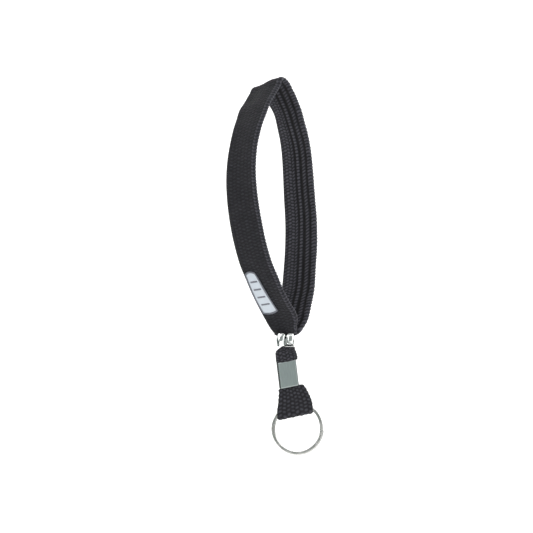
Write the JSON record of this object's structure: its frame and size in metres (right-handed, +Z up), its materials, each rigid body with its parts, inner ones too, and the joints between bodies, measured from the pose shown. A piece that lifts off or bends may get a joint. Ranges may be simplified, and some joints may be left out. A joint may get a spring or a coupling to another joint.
{
  "type": "lanyard",
  "caption": "Wrist lanyard: flat braid loop gathered in a chrome crimp and a flat clamp, folded round a split key ring.",
  "frame": {"origin": "inside of the top of the wrist loop, where a finger, hook or peg carries it", "axes": "+Z up, -Y the front, with the clamp's face and the label towards -Y; +X to the right seen from the front"},
  "size_m": [0.0468, 0.0474, 0.1803],
  "materials": {
    "braid": "matt polyester tubular braid",
    "label": "pale woven satin label",
    "label_thread": "grey satin-stitched edge",
    "crimp_chrome": "polished",
    "clamp_metal": "satin grey-green with fine lengthwise brushing",
    "ring_steel": "nickel plate, lightly rubbed"
  },
  "bodies": {
    "wrist_loop": {"wrist_braid": "braid", "wrist_label": "label", "label_border": "label_thread", "neck_crimp": "crimp_chrome"},
    "clamp": {"neck_leg_front": "braid", "neck_leg_back": "braid", "clamp_sleeve": "clamp_metal", "ring_loop_tail": "braid"},
    "ring_loop": {"ring_loop_braid": "braid"},
    "key_ring": {"split_ring": "ring_steel"}
  },
  "joints": [
    {"name": "neck_bend", "type": "hinge", "parent": "wrist_loop", "child": "clamp", "pos_m": [0.00868, 0, -0.1276], "axis": [0.9862, 0.1392, 0.0898], "range_deg": [-70, 70]},
    {"name": "ring_loop_bend", "type": "hinge", "parent": "clamp", "child": "ring_loop", "pos_m": [0.01096, 0.00007, -0.1472], "axis": [0.9706, 0.1384, 0.1968], "range_deg": [-70, 70]},
    {"name": "ring_spin", "type": "hinge", "parent": "ring_loop", "child": "key_ring", "pos_m": [0.01441, 0.00033, -0.1644], "axis": [-0.1386, 0.9903, -0.0126], "continuous": true}
  ]
}
